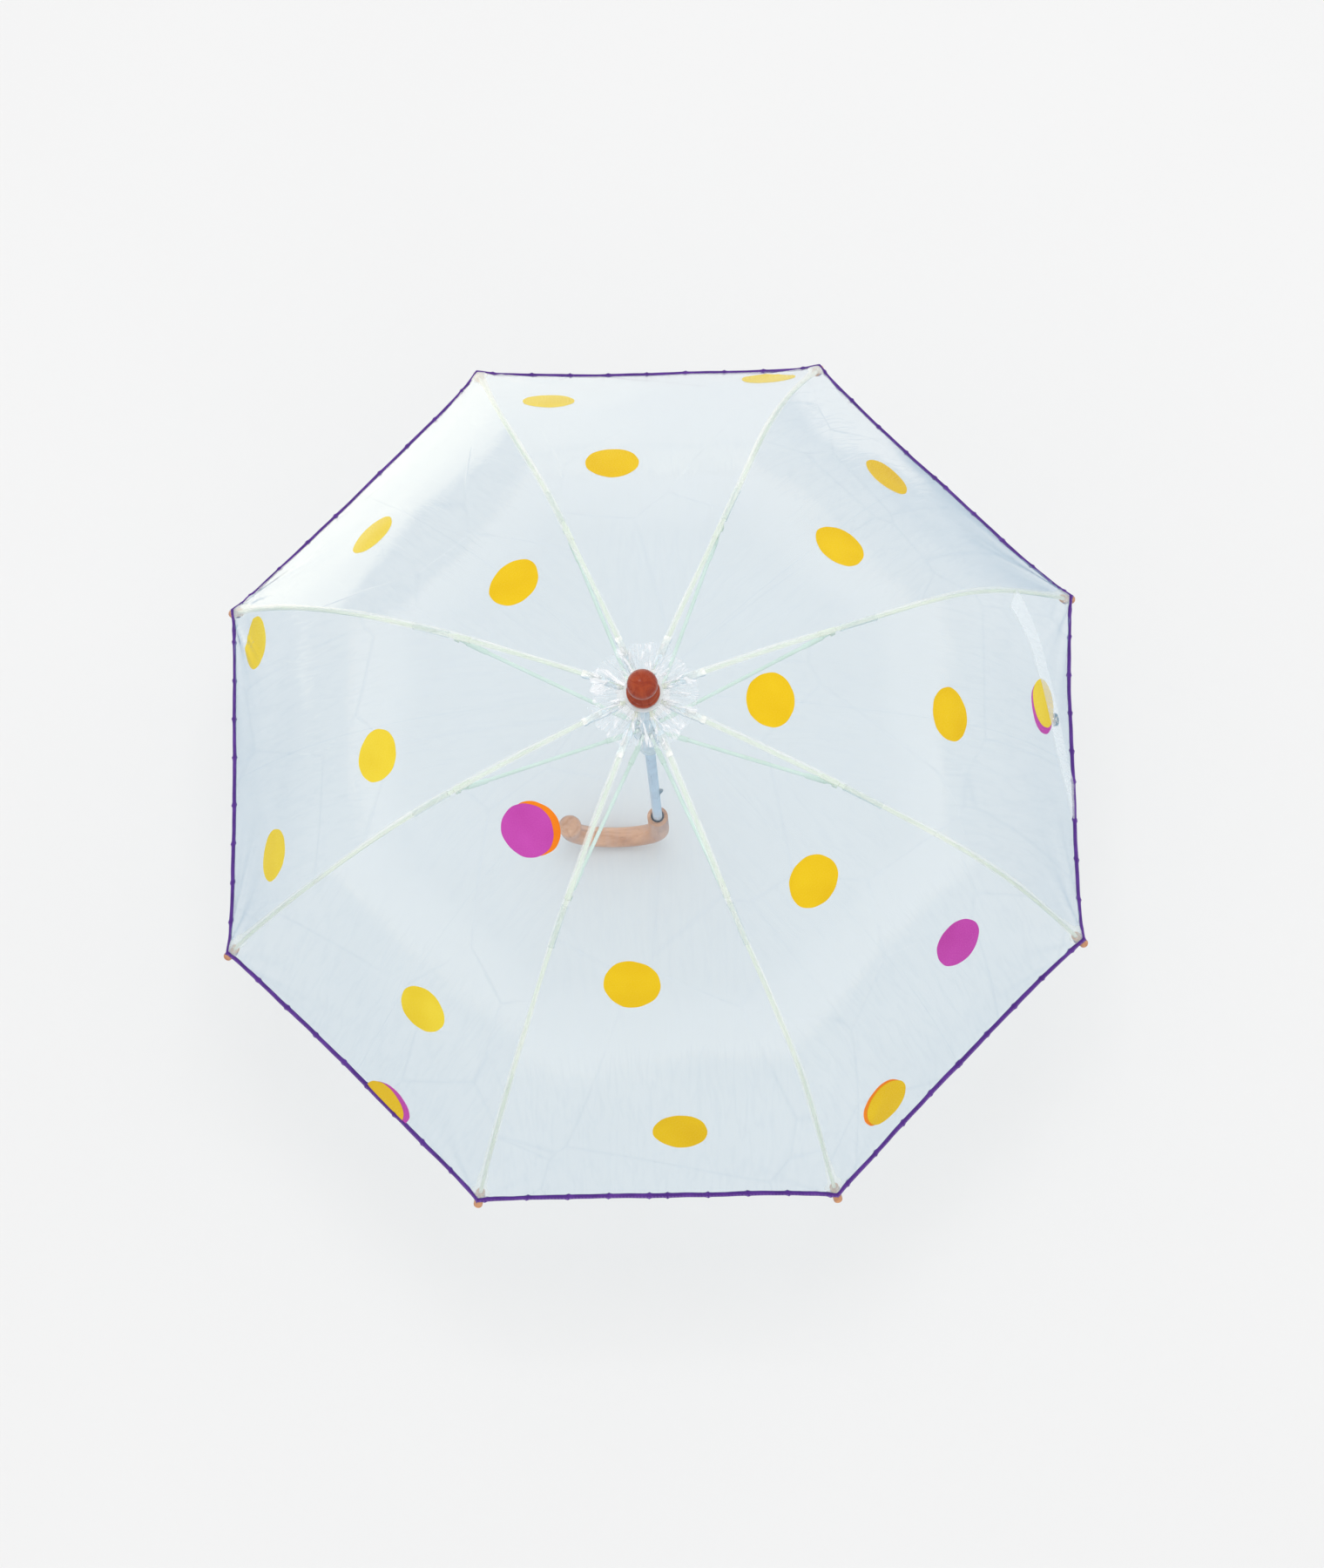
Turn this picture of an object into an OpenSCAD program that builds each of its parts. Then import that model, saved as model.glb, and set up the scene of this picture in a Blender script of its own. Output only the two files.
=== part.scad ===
// Child's clear dome umbrella, standing upright and open.
// Eight ribs fold down round a steel shaft when the runner slides towards the crook handle.
// +Z runs up the shaft. The origin is where the hand holds the straight part of the handle.

/* [Canopy] */
// Arc length of the upper part of a rib, from the crown to the stretcher joint
upper_arc = 150; // [140:1:160]
// Arc length of each of the three bends of the lower part of a rib
lower_arc = 104; // [95:1:110]
// Slope of the ribs at the crown, in degrees below level
crown_slope = 11.5; // [8:0.5:14]
// Thickness of the clear film
film_t = 0.3; // [0.3:0.05:0.6]

/* [Rods] */
// Diameter of a rib rod
rib_d = 3; // [2.4:0.1:3.2]
// Diameter of a stretcher rod
stretcher_d = 2.8; // [2:0.1:2.8]
// Diameter of a wooden rib tip
tip_d = 7; // [6:0.5:8]
// Length of a wooden rib tip
tip_l = 21; // [16:1:24]

/* [Shaft and handle] */
// Diameter of the shaft
shaft_d = 8; // [8:0.5:8]
// Height of the rib pivots above the top of the handle
hub_above_handle = 439; // [430:1:460]
// Height of the top of the handle above the grip
handle_top = 25; // [20:1:30]
// Diameter of the handle
grip_d = 17.2; // [15:0.2:18]
// Straight length of the handle above its bend
grip_l = 52; // [45:1:60]
// Radius of the bend of the crook, to the middle of the wood
crook_r = 37.5; // [32:0.5:42]

/* [Knob] */
// Diameter of the ball on top
ball_d = 22; // [18:1:24]
// Diameter of the knob's collar
collar_d = 24; // [22:1:26]

/* [Hidden] */
$fn = 48;
ribs = 8;
step = 360 / ribs;
half = step / 2;

// the ribs bend more in the middle than at their ends
bends = [14.7, 15.2, 13.9, 7.7];
arcs = [upper_arc, lower_arc, lower_arc, lower_arc];
rib_end = upper_arc + 3 * lower_arc;

// ring of the hinge wires in the crown and in the runner
pivot_r = 8;
wire_d = 1.1;
eye_d = 4.2;
eye_w = 2.4;
slot_w = 3.4;
hub_z = handle_top + hub_above_handle;

// the stretchers hang this far under the rib rods
joint_drop = 4.5;
cheek_t = 1;
film_gap = 2.5;
fit = 0.05;

function slope_at(k) = k == 0 ? crown_slope : slope_at(k - 1) + bends[k - 1];
function arc_r(k) = arcs[k] * 180 / PI / bends[k];
function arc_from(k) = k == 0 ? 0 : arc_from(k - 1) + arcs[k - 1];
function turn(r, a0, a1) = r * [sin(a1) - sin(a0), cos(a1) - cos(a0)];
function arc_start(k) =
    k == 0 ? [pivot_r, 0] : arc_start(k - 1) + turn(arc_r(k - 1), slope_at(k - 1), slope_at(k));
function arc_of(s) = s < arc_from(1) ? 0 : s < arc_from(2) ? 1 : s < arc_from(3) ? 2 : 3;
function rib_slope(s) =
    let (k = arc_of(s)) slope_at(k) + bends[k] * (s - arc_from(k)) / arcs[k];
function rib_point(s) =
    let (k = arc_of(s)) arc_start(k) + turn(arc_r(k), slope_at(k), rib_slope(s));

// the stretcher joint hangs inside the rib, halfway down to the runner's pivots,
// so that a stretcher is as long as the rib above it and the runner stays on the shaft
joint_slope = slope_at(1);
joint = arc_start(1) - joint_drop * [sin(joint_slope), cos(joint_slope)];
runner_pivot = [pivot_r, 2 * joint[1]];
runner_z = hub_z + runner_pivot[1];
rim_z = hub_z + rib_point(rib_end)[1];

runner_l = 60;
catch_l = 20;
catch_out = 6.9;
catch_w = 1.6;
top_catch_z = runner_z - runner_l - 2;
bottom_catch_z = hub_z - 330;
shaft_bottom = handle_top - 30;
shaft_top = hub_z + 15;
tube_wall = 0.7;
washer_z = hub_z + 3;
washer_t = 2;

bend_z = handle_top - grip_l;

function rib_azimuth(i) = half + step * (i - 1);
function numbered(name) = [for (i = [1:ribs]) str(name, "_", i)];

// places its children in the upright plane of rib i, at the height of the rib pivots
module at_rib(i) {
    rotate([0, 0, rib_azimuth(i)])
        translate([0, 0, hub_z])
            children();
}

// a bent rod along the rib's line, from arc length s0 to s1
module rib_rod(s0, s1, d) {
    for (k = [0:len(arcs) - 1]) {
        from = max(s0, arc_from(k));
        to = min(s1, arc_from(k) + arcs[k]);
        if (to > from) {
            a0 = slope_at(k) + bends[k] * (from - arc_from(k)) / arcs[k];
            a1 = slope_at(k) + bends[k] * (to - arc_from(k)) / arcs[k];
            middle = arc_start(k) - arc_r(k) * [sin(slope_at(k)), cos(slope_at(k))];
            translate([middle[0], 0, middle[1]])
                rotate([90, 0, 0])
                    rotate([0, 0, 90 - a1])
                        rotate_extrude(angle = a1 - a0)
                            translate([arc_r(k), 0])
                                circle(d = d);
        }
    }
}

// a pin or a hole across the rib's plane at point p
module across(p, d, w) {
    translate([p[0], 0, p[1]])
        rotate([90, 0, 0])
            cylinder(h = w, d = d, center = true);
}

// a straight rod in the rib's plane, from p towards q, between two distances from p
module rod_between(p, q, d, from, to) {
    angle = atan2(q[0] - p[0], q[1] - p[1]);
    translate([p[0], 0, p[1]])
        rotate([0, angle, 0])
            translate([0, 0, from])
                cylinder(h = to - from, d = d);
}

module shaft() {
    color("lightsteelblue")
    difference() {
        translate([0, 0, shaft_bottom])
            cylinder(h = shaft_top - shaft_bottom, d = shaft_d);
        translate([0, 0, shaft_bottom + 2])
            cylinder(h = shaft_top - shaft_bottom - 4, d = shaft_d - 2 * tube_wall);
        for (z = [top_catch_z, bottom_catch_z])
            translate([0, -catch_w / 2 - 0.2, z - catch_l - 2])
                cube([shaft_d, catch_w + 0.4, catch_l + 4]);
    }
}

module handle() {
    tip_x = -2 * crook_r;
    ball_r = grip_d / 2 + 1.1;
    color("burlywood")
    difference() {
        union() {
            translate([0, 0, bend_z])
                cylinder(h = grip_l - 1.5, d = grip_d);
            translate([0, 0, handle_top - 1.5])
                cylinder(h = 1.5, d1 = grip_d, d2 = grip_d - 2);
            translate([-crook_r, 0, bend_z])
                rotate([90, 0, 0])
                    rotate([0, 0, 180])
                        rotate_extrude(angle = 180)
                            translate([crook_r, 0])
                                circle(d = grip_d);
            translate([tip_x, 0, bend_z])
                cylinder(h = 5, d = grip_d);
            translate([tip_x, 0, bend_z + 5])
                cylinder(h = 4, d1 = grip_d, d2 = grip_d - 1.4);
            translate([tip_x, 0, bend_z + 13])
                intersection() {
                    sphere(r = ball_r);
                    translate([0, 0, -ball_r])
                        cylinder(h = ball_r + 7, r = ball_r);
                }
        }
        translate([0, 0, shaft_bottom - fit])
            cylinder(h = hub_z, d = shaft_d + 2 * fit);
        translate([0, 0, handle_top - 3])
            cylinder(h = 4, d = shaft_d + 2.6);
    }
}

// turned knob: a collar, a waist and a ball, with a blind hole for the shaft
module ferrule() {
    low = washer_z + washer_t + fit;
    ball_z = hub_z + 30;
    color("firebrick")
    difference() {
        union() {
            translate([0, 0, low])
                cylinder(h = 5.5, d = collar_d);
            translate([0, 0, low + 5.5])
                cylinder(h = 2, d1 = collar_d, d2 = collar_d - 4);
            translate([0, 0, low + 7.5])
                cylinder(h = 5, d1 = 17, d2 = 13);
            translate([0, 0, low + 12.5])
                cylinder(h = 5, d = 13);
            translate([0, 0, ball_z])
                sphere(d = ball_d);
        }
        translate([0, 0, low - 1])
            cylinder(h = shaft_top - low + 1 + fit, d = shaft_d + 2 * fit);
    }
}

module crown_washer() {
    color("whitesmoke")
    translate([0, 0, washer_z])
        difference() {
            cylinder(h = washer_t, d = 28.5);
            translate([0, 0, -1])
                cylinder(h = washer_t + 2, d = shaft_d + 2 * fit);
        }
}

// plastic ring with eight slots for the hinge eyes and a groove for their wire
module slotted_crown(d, low, high, slot_from) {
    difference() {
        translate([0, 0, low])
            cylinder(h = high - low, d = d);
        for (i = [1:ribs])
            rotate([0, 0, rib_azimuth(i)])
                translate([slot_from, -slot_w / 2, low - 1])
                    cube([d, slot_w, high - low + 2]);
        rotate_extrude()
            translate([pivot_r, 0])
                circle(d = wire_d + 2 * fit);
    }
}

module notch() {
    color("white")
    translate([0, 0, hub_z])
        difference() {
            slotted_crown(22, -5, 2.7, 5.4);
            translate([0, 0, -6])
                cylinder(h = 10, d = shaft_d + 2 * fit);
        }
}

module hinge_wire(z) {
    color("silver")
    translate([0, 0, z])
        rotate_extrude()
            translate([pivot_r, 0])
                circle(d = wire_d);
}

// sliding runner: a slotted crown on a long sleeve, slit along +X so that it clears the catches
module runner() {
    color("ghostwhite")
    translate([0, 0, runner_z])
        difference() {
            union() {
                slotted_crown(23, -5, 2.7, 5.6);
                translate([0, 0, -runner_l])
                    cylinder(h = runner_l - 5, d = 14.4);
                translate([0, 0, -runner_l])
                    cylinder(h = 3, d = 17);
            }
            translate([0, 0, -runner_l - 1])
                cylinder(h = runner_l + 5, d = shaft_d + 0.12);
            translate([2, -1.3, -runner_l - 1])
                cube([12, 2.6, runner_l + 5]);
            translate([5.4, -4, -5.5])
                cube([12, 8, 10]);
        }
}

// bent spring catch that stands out through a slot in the shaft
module catch(z) {
    color("silver")
    translate([0, catch_w / 2, z])
        rotate([90, 0, 0])
            linear_extrude(catch_w)
                polygon([[2.8, 0], [catch_out, -2.5], [catch_out, -4], [3.6, -catch_l], [2.8, -catch_l]]);
}

// upper part of a rib, with its hinge eye, end sleeve and the fork that holds the stretcher
module rib_upper(i) {
    color("ivory")
    at_rib(i)
        difference() {
            union() {
                across([pivot_r, 0], eye_d, eye_w);
                rib_rod(0.8, upper_arc - 0.3, rib_d);
                rib_rod(8, 24, 4.4);
                rib_rod(upper_arc - 14, upper_arc - 0.3, 4.4);
                for (side = [-1, 1])
                    translate([joint[0], side * (eye_w / 2 + 0.15 + cheek_t / 2), joint[1]])
                        rotate([0, joint_slope, 0])
                            translate([-2.2, -cheek_t / 2, 0])
                                cube([1.9, cheek_t, joint_drop]);
                across(joint, 4, eye_w + 0.3 + 2 * cheek_t);
            }
            across([pivot_r, 0], wire_d + 0.4, 6);
            translate([0, -eye_w / 2 - 0.15, 0])
                fork_gap();
        }
    color("silver")
    at_rib(i)
        across(joint, 1.3, eye_w + 0.3 + 1);
}

// the space between the fork's cheeks where the stretcher's eye turns
module fork_gap() {
    translate([joint[0], 0, joint[1]])
        rotate([0, joint_slope, 0])
            translate([-5, 0, -4])
                cube([10, eye_w + 0.3, 4 + 2.25]);
}

// lower part of a rib, with a short collar where its curve changes
module rib_lower(i) {
    color("ivory")
    at_rib(i) {
        rib_rod(upper_arc + 0.6, rib_end - 3, rib_d);
        for (k = [2, 3])
            translate([arc_start(k)[0], 0, arc_start(k)[1]])
                rotate([0, 90 + slope_at(k), 0])
                    cylinder(h = 2, d = rib_d + 0.3, center = true);
    }
}

// turned wooden tip over the end of the rib
module rib_tip(i) {
    bore_l = tip_l / 2 - 2;
    end = rib_point(rib_end);
    color("peru")
    at_rib(i)
        translate([end[0], 0, end[1]])
            rotate([0, 90 + rib_slope(rib_end), 0])
                difference() {
                    union() {
                        translate([0, 0, -tip_l / 2])
                            cylinder(h = tip_l - 2, d = tip_d);
                        translate([0, 0, tip_l / 2 - 2])
                            cylinder(h = 2, d1 = tip_d, d2 = tip_d - 3);
                    }
                    translate([0, 0, -tip_l / 2 - 1])
                        cylinder(h = bore_l + 1, d = rib_d + 0.5);
                }
}

module stretcher(i) {
    length = norm(joint - runner_pivot);
    color("honeydew")
    at_rib(i)
        difference() {
            union() {
                across(joint, 3.6, eye_w);
                across(runner_pivot, eye_d, eye_w);
                rod_between(joint, runner_pivot, eye_w, 0, 8);
                rod_between(joint, runner_pivot, stretcher_d, 6, length);
                rod_between(joint, runner_pivot, 4, 8, 24);
                rod_between(joint, runner_pivot, 4, length - 26, length - 10);
            }
            across(joint, 1.5, 6);
            across(runner_pivot, wire_d + 0.4, 6);
        }
}

// points of the middle line of a gore, moved out from the ribs' own surface by off
function gore_slope(s) = atan(tan(rib_slope(s)) / cos(half));
function gore_point(s, off) =
    let (p = rib_point(s), a = gore_slope(s)) [p[0] * cos(half) + off * sin(a), p[1] + off * cos(a)];
function gore_line(s0, s1, n, off) = [for (j = [0:n]) gore_point(s0 + (s1 - s0) * j / n, off)];
function reversed(v) = [for (j = [len(v) - 1:-1:0]) v[j]];

// a sheet bent only along the slope, as the film is between two ribs
module gore_sheet(s0, s1, n, off, t) {
    translate([0, 200, hub_z])
        rotate([90, 0, 0])
            linear_extrude(400)
                polygon(concat(gore_line(s0, s1, n, off), reversed(gore_line(s0, s1, n, off + t))));
}

// half a gore, from rib i to the middle line of the gore on one side of it
module half_gore(i, side) {
    start = 6;
    seam = 0.2;
    outer = 400;
    color("lightcyan", 0.4)
    rotate([0, 0, rib_azimuth(i) + side * half])
        difference() {
            intersection() {
                gore_sheet(start, rib_end, 24, film_gap, film_t);
                translate([0, 0, rim_z - 20])
                    linear_extrude(400)
                        polygon([
                            [2, -side * seam],
                            [outer, -side * seam],
                            [outer, -side * (outer * tan(half) - seam)],
                            [2, -side * (2 * tan(half) - seam / 2)]
                        ]);
            }
            rotate([0, 0, -side * half])
                tip_clearance();
        }
}

module tip_clearance() {
    end = rib_point(rib_end);
    translate([end[0], 0, end[1] + hub_z])
        rotate([0, 90 + rib_slope(rib_end), 0])
            translate([0, 0, -tip_l / 2 - 0.5])
                cylinder(h = tip_l + 10, d = tip_d + 0.8);
}

// clear strap that lies outside the gore on the +X side and ties the folded canopy
strap_gap = film_gap + film_t + 0.3;
strap_t = 0.5;
snap_s = rib_end - 36;
snap_y = 29;
module tie_strap() {
    snap = gore_point(snap_s, 0);
    run = 88;
    color("aliceblue", 0.6)
    intersection() {
        gore_sheet(rib_end - 130, rib_end - 8, 8, strap_gap, strap_t);
        translate([snap[0], snap_y, rim_z - 20])
            rotate([0, 0, 16])
                translate([-5, -20, 0])
                    cube([10, run + 20, 300]);
    }
}

module snap_stud() {
    at = gore_point(snap_s, strap_gap + strap_t + 0.2);
    color("silver")
    translate([at[0], snap_y, at[1] + hub_z])
        rotate([0, gore_slope(snap_s), 0]) {
            cylinder(h = 1, d = 10);
            cylinder(h = 2.4, d = 5);
        }
}

shaft();
handle();
ferrule();
crown_washer();
notch();
hinge_wire(hub_z);  // notch_wire
runner();
hinge_wire(runner_z);  // runner_wire
catch(top_catch_z);  // top_catch
catch(bottom_catch_z);  // bottom_catch
tie_strap();
snap_stud();
for (i = [1:ribs]) {
    rib_upper(i);
    rib_lower(i);
    rib_tip(i);
    stretcher(i);
    half_gore(i, 1);
    half_gore(i, -1);
}
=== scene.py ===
import math

import bmesh
import bpy
import numpy as np
from mathutils import Matrix, Vector


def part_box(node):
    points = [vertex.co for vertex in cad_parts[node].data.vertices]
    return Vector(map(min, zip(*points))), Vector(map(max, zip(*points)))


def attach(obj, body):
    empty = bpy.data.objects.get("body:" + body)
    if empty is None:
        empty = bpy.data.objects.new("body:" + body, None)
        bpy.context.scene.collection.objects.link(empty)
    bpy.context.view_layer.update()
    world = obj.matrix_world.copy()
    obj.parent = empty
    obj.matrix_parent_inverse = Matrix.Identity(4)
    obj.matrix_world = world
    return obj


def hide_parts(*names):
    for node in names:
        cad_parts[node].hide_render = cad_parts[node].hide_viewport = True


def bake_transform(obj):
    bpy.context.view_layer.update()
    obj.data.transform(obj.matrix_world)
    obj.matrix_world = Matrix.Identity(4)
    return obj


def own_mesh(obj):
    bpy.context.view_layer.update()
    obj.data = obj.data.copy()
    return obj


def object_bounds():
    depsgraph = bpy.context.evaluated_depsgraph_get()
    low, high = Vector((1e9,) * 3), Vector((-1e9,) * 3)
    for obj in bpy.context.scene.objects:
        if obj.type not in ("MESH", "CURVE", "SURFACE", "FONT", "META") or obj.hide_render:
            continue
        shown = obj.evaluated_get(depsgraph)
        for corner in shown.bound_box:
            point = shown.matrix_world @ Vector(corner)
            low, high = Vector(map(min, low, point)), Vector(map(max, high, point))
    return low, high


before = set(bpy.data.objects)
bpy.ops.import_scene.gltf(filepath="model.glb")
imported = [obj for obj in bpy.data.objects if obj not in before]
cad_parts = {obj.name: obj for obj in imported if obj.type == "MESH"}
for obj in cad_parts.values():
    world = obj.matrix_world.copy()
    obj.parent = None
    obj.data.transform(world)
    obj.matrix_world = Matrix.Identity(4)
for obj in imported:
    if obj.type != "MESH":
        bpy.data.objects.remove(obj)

cad_low, cad_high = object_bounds()
scene = bpy.context.scene
mm = 0.001
Socket = bpy.types.NodeSocket

# ---- camera


def place_camera():
    """Long lens, looking down on the crown from a little in front."""
    azimuth, elevation, roll = (math.radians(angle) for angle in (5.15, 78.04, -5.96))
    right = Vector((math.cos(azimuth), math.sin(azimuth), 0))
    level = math.cos(elevation)
    back = Vector((math.sin(azimuth) * level, -math.cos(azimuth) * level, math.sin(elevation)))
    up = right.cross(-back)
    across = right * math.cos(roll) + up * math.sin(roll)
    upward = up * math.cos(roll) - right * math.sin(roll)
    data = bpy.data.cameras.new("camera")
    data.lens, data.sensor_width, data.sensor_fit = 94.55, 36, "HORIZONTAL"
    data.clip_start, data.clip_end = 0.05, 60
    camera = bpy.data.objects.new("camera", data)
    turn = Matrix((across, upward, back)).transposed().to_4x4()
    camera.matrix_world = Matrix.Translation((0.0581, -0.5722, 2.8667)) @ turn
    scene.collection.objects.link(camera)
    scene.camera = camera


place_camera()

# ---- sizes of the dome

RIBS = 8
HALF = math.radians(22.5)
HUB = 464 * mm
PIVOT = 8 * mm
ARCS = [150 * mm, 104 * mm, 104 * mm, 104 * mm]
BENDS = [math.radians(b) for b in (14.7, 15.2, 13.9, 7.7)]
CROWN = math.radians(11.5)
RIM = sum(ARCS)
FILM_GAP = 2.5 * mm
FILM_T = 0.3 * mm

starts, slopes = [0.0], [CROWN]
corners = [(PIVOT, 0.0)]
for arc, bend in zip(ARCS, BENDS):
    radius = arc / bend
    x, z = corners[-1]
    a, b = slopes[-1], slopes[-1] + bend
    corners.append((x + radius * (math.sin(b) - math.sin(a)), z + radius * (math.cos(b) - math.cos(a))))
    starts.append(starts[-1] + arc)
    slopes.append(b)


def rib_line(s):
    """Distance from the shaft, height and slope of the ribs' line at arc length s."""
    s = np.asarray(s, float)
    k = np.clip(np.searchsorted(starts, s, side="right") - 1, 0, 3)
    radius = np.array([a / b for a, b in zip(ARCS, BENDS)])[k]
    a = np.array(slopes)[k]
    slope = a + (s - np.array(starts)[k]) / radius
    x = np.array([c[0] for c in corners])[k] + radius * (np.sin(slope) - np.sin(a))
    z = np.array([c[1] for c in corners])[k] + radius * (np.cos(slope) - np.cos(a))
    return x, HUB + z, slope


def rib_azimuth(i):
    return HALF + 2 * HALF * (i - 1)


# how far each rib bows sideways under its film, at the middle of its lower part
BOW = [5.2 * mm, 4.0 * mm, 4.0 * mm, 0.0, 2.2 * mm, 1.0 * mm, 4.0 * mm, 2.6 * mm]
arc_table = np.linspace(0, RIM * 1.05, 400)
reach_table = rib_line(arc_table)[0]


def bow_turn(reach, azimuth):
    """Angle about the shaft that the sideways bow adds at a distance from the shaft."""
    s = np.interp(reach, reach_table, arc_table)
    share = np.clip((s - starts[1]) / (RIM - starts[1]), 0, 1)
    place = (np.degrees(azimuth) / 45 - 0.5) % RIBS
    first = np.floor(place).astype(int) % RIBS
    blend = place - np.floor(place)
    bow = np.array(BOW)[first] * (1 - blend) + np.array(BOW)[(first + 1) % RIBS] * blend
    return bow * np.sin(np.pi * share) ** 2 / np.maximum(reach, 0.03)


def bowed(points):
    """Points of the film and the ribs, moved sideways with the ribs' bow."""
    p = np.array(points, float).reshape(-1, 3)
    reach, azimuth = np.hypot(p[:, 0], p[:, 1]), np.arctan2(p[:, 1], p[:, 0])
    azimuth = azimuth + bow_turn(reach, azimuth)
    return np.stack([reach * np.cos(azimuth), reach * np.sin(azimuth), p[:, 2]], axis=1)


# how deep the creases are round each rib tip
TIP_CREASE = [3.0, 1.3, 1.2, 3.0, 1.9, 1.2, 1.1, 2.0]


def film_relief(gore, s, v):
    """Height of the film's waves, gathers and creases above its plain surface."""
    s, v = np.asarray(s, float), np.asarray(v, float)
    x = rib_line(s)[0]
    away = (1 - np.abs(v)) * x * math.sin(HALF)
    free = 1 - v**4
    seed = 1.7 * gore
    t = v * x * math.sin(HALF)
    wave = 0.7 * np.sin(s / 0.047 + 3.1 * seed + 9 * t) * np.sin(t / 0.031 + seed)
    wave += 0.45 * np.sin(s / 0.021 + seed * 2.3) * np.sin(t / 0.055 - seed)
    wave += 0.25 * np.sin((s + 0.7 * t) / 0.013 + seed) * np.sin((t - 0.4 * s) / 0.017 + 5 * seed)
    height = wave * mm * free * np.clip((s - 0.03) / 0.09, 0, 1)
    height -= 3.0 * mm * free * np.clip((s - 0.05) / 0.3, 0, 1)
    # the gathers round the crown
    near = np.exp(-(((s - 0.018) / 0.026) ** 2))
    turn = (gore + v / 2) * 2 * np.pi / RIBS
    pleat = np.sin(40 * turn + 2 * np.sin(3 * turn)) + 0.5 * np.sin(72 * turn + 1.3)
    height += 0.55 * mm * near * pleat * np.clip(free * 3, 0, 1)
    # the creases that run out from the rib tips
    for side in (-1, 1):
        rib = int(gore) % RIBS if side > 0 else (int(gore) - 1) % RIBS
        off = np.where(np.sign(v) == side, away, 1.0)
        along = RIM - s
        far = np.hypot(off, along)
        angle = np.arctan2(off, np.maximum(along, 1e-6))
        ray = (1 - np.abs(np.sin(4.6 * angle + rib * 1.9 + 5 * far))) ** 2
        ray += 0.5 * (1 - np.abs(np.sin(8.3 * angle + rib * 0.7 - 7 * far))) ** 3
        fade = np.exp(-(((far - 0.012) / 0.056) ** 2)) * np.sin(np.clip(angle, 0, np.pi / 2) * 2) ** 0.6
        fade *= np.clip((far - 0.008) / 0.012, 0, 1)
        height += TIP_CREASE[rib] * mm * ray * fade
    return height


def over_tip(s, v):
    """How far the film rises to pass over a wooden tip."""
    x = rib_line(s)[0]
    away = (1 - np.abs(v)) * x * math.sin(HALF)
    rise = np.clip((s - 0.424) / 0.022, 0, 1)
    return 1.9 * mm * rise * rise * (3 - 2 * rise) * np.exp(-((away / 0.010) ** 2))


def hem_line(v):
    """Arc length of the film's edge, which is drawn up a little at every tip."""
    away = (1 - np.abs(v)) * float(rib_line(RIM)[0]) * math.sin(HALF)
    return RIM - 3.4 * mm * np.exp(-((away / 0.013) ** 2)) - 0.5 * mm * np.exp(-((away / 0.05) ** 2))


def film_points(gore, s, v, lift=0.0):
    """Points of the canopy: arc length s from the crown, v from -1 to 1 across a gore."""
    s, v = np.broadcast_arrays(np.asarray(s, float), np.asarray(v, float))
    x, z, slope = rib_line(s)
    a = np.arctan(np.tan(slope) / math.cos(HALF))
    off = FILM_GAP + FILM_T / 2 + film_relief(gore, s, v) + over_tip(s, v) + lift
    r = x * math.cos(HALF) + off * np.sin(a)
    t = v * r * math.tan(HALF)
    g = gore * 2 * HALF
    points = np.stack(
        [r * math.cos(g) - t * math.sin(g), r * math.sin(g) + t * math.cos(g), z + off * np.cos(a)],
        axis=-1,
    )
    shape = points.shape
    return bowed(points).reshape(shape)


def film_at(gore, t, s, lift=0.0):
    """Points of the canopy from a distance t across the gore instead of a share."""
    s = np.minimum(np.asarray(s, float), RIM)
    x, _, slope = rib_line(s)
    a = np.arctan(np.tan(slope) / math.cos(HALF))
    width = (x * math.cos(HALF) + (FILM_GAP + FILM_T / 2) * np.sin(a)) * math.tan(HALF)
    return film_points(gore, s, np.clip(np.asarray(t, float) / width, -1, 1), lift)


def half_of(gore, side):
    """Name of the film half, and its rib, on one side of a gore's middle line."""
    if side > 0:
        return "film_right_%d" % (gore + 1), gore + 1
    rib = gore if gore else RIBS
    return "film_left_%d" % rib, rib


# ---- work on meshes


def pick_nothing():
    bpy.ops.object.select_all(action="DESELECT")


def fresh(name):
    """The primitive just added, with its name."""
    piece = bpy.context.object
    piece.name = piece.data.name = name
    return piece


def pick_only(piece):
    pick_nothing()
    piece.select_set(True)
    bpy.context.view_layer.objects.active = piece


def pick_whole():
    bpy.ops.mesh.select_all(action="SELECT")


def start_edit(piece):
    pick_only(piece)
    bpy.ops.object.mode_set(mode="EDIT")
    pick_whole()


def pick_faces(piece, wanted):
    """In edit mode, selects the faces that wanted(centre, normal) accepts."""
    bpy.ops.mesh.select_all(action="DESELECT")
    bpy.ops.mesh.select_mode(type="FACE")
    mesh = bmesh.from_edit_mesh(piece.data)
    for face in mesh.faces:
        face.select_set(bool(wanted(face.calc_center_median(), face.normal)))
    bmesh.update_edit_mesh(piece.data)


def end_edit():
    pick_whole()
    bpy.ops.mesh.remove_doubles(threshold=0.002 * mm)
    bpy.ops.mesh.normals_make_consistent(inside=False)
    bpy.ops.object.mode_set(mode="OBJECT")


def apply_all(piece):
    pick_only(piece)
    for modifier in list(piece.modifiers):
        bpy.ops.object.modifier_apply(modifier=modifier.name)


def place_into_mesh():
    bpy.ops.object.transform_apply(location=True, rotation=True, scale=True)


def settle(piece, turn=None, angle=35):
    """Puts a finished piece's place into its mesh, and smooths it."""
    pick_only(piece)
    if turn is not None:
        piece.matrix_world = turn @ piece.matrix_world
    place_into_mesh()
    bpy.ops.object.shade_smooth_by_angle(angle=math.radians(angle))
    return piece


def copy_of(piece, name, turn):
    other = piece.copy()
    other.data = piece.data.copy()
    other.name = other.data.name = name
    other.data.transform(turn)
    scene.collection.objects.link(other)
    return other


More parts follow.
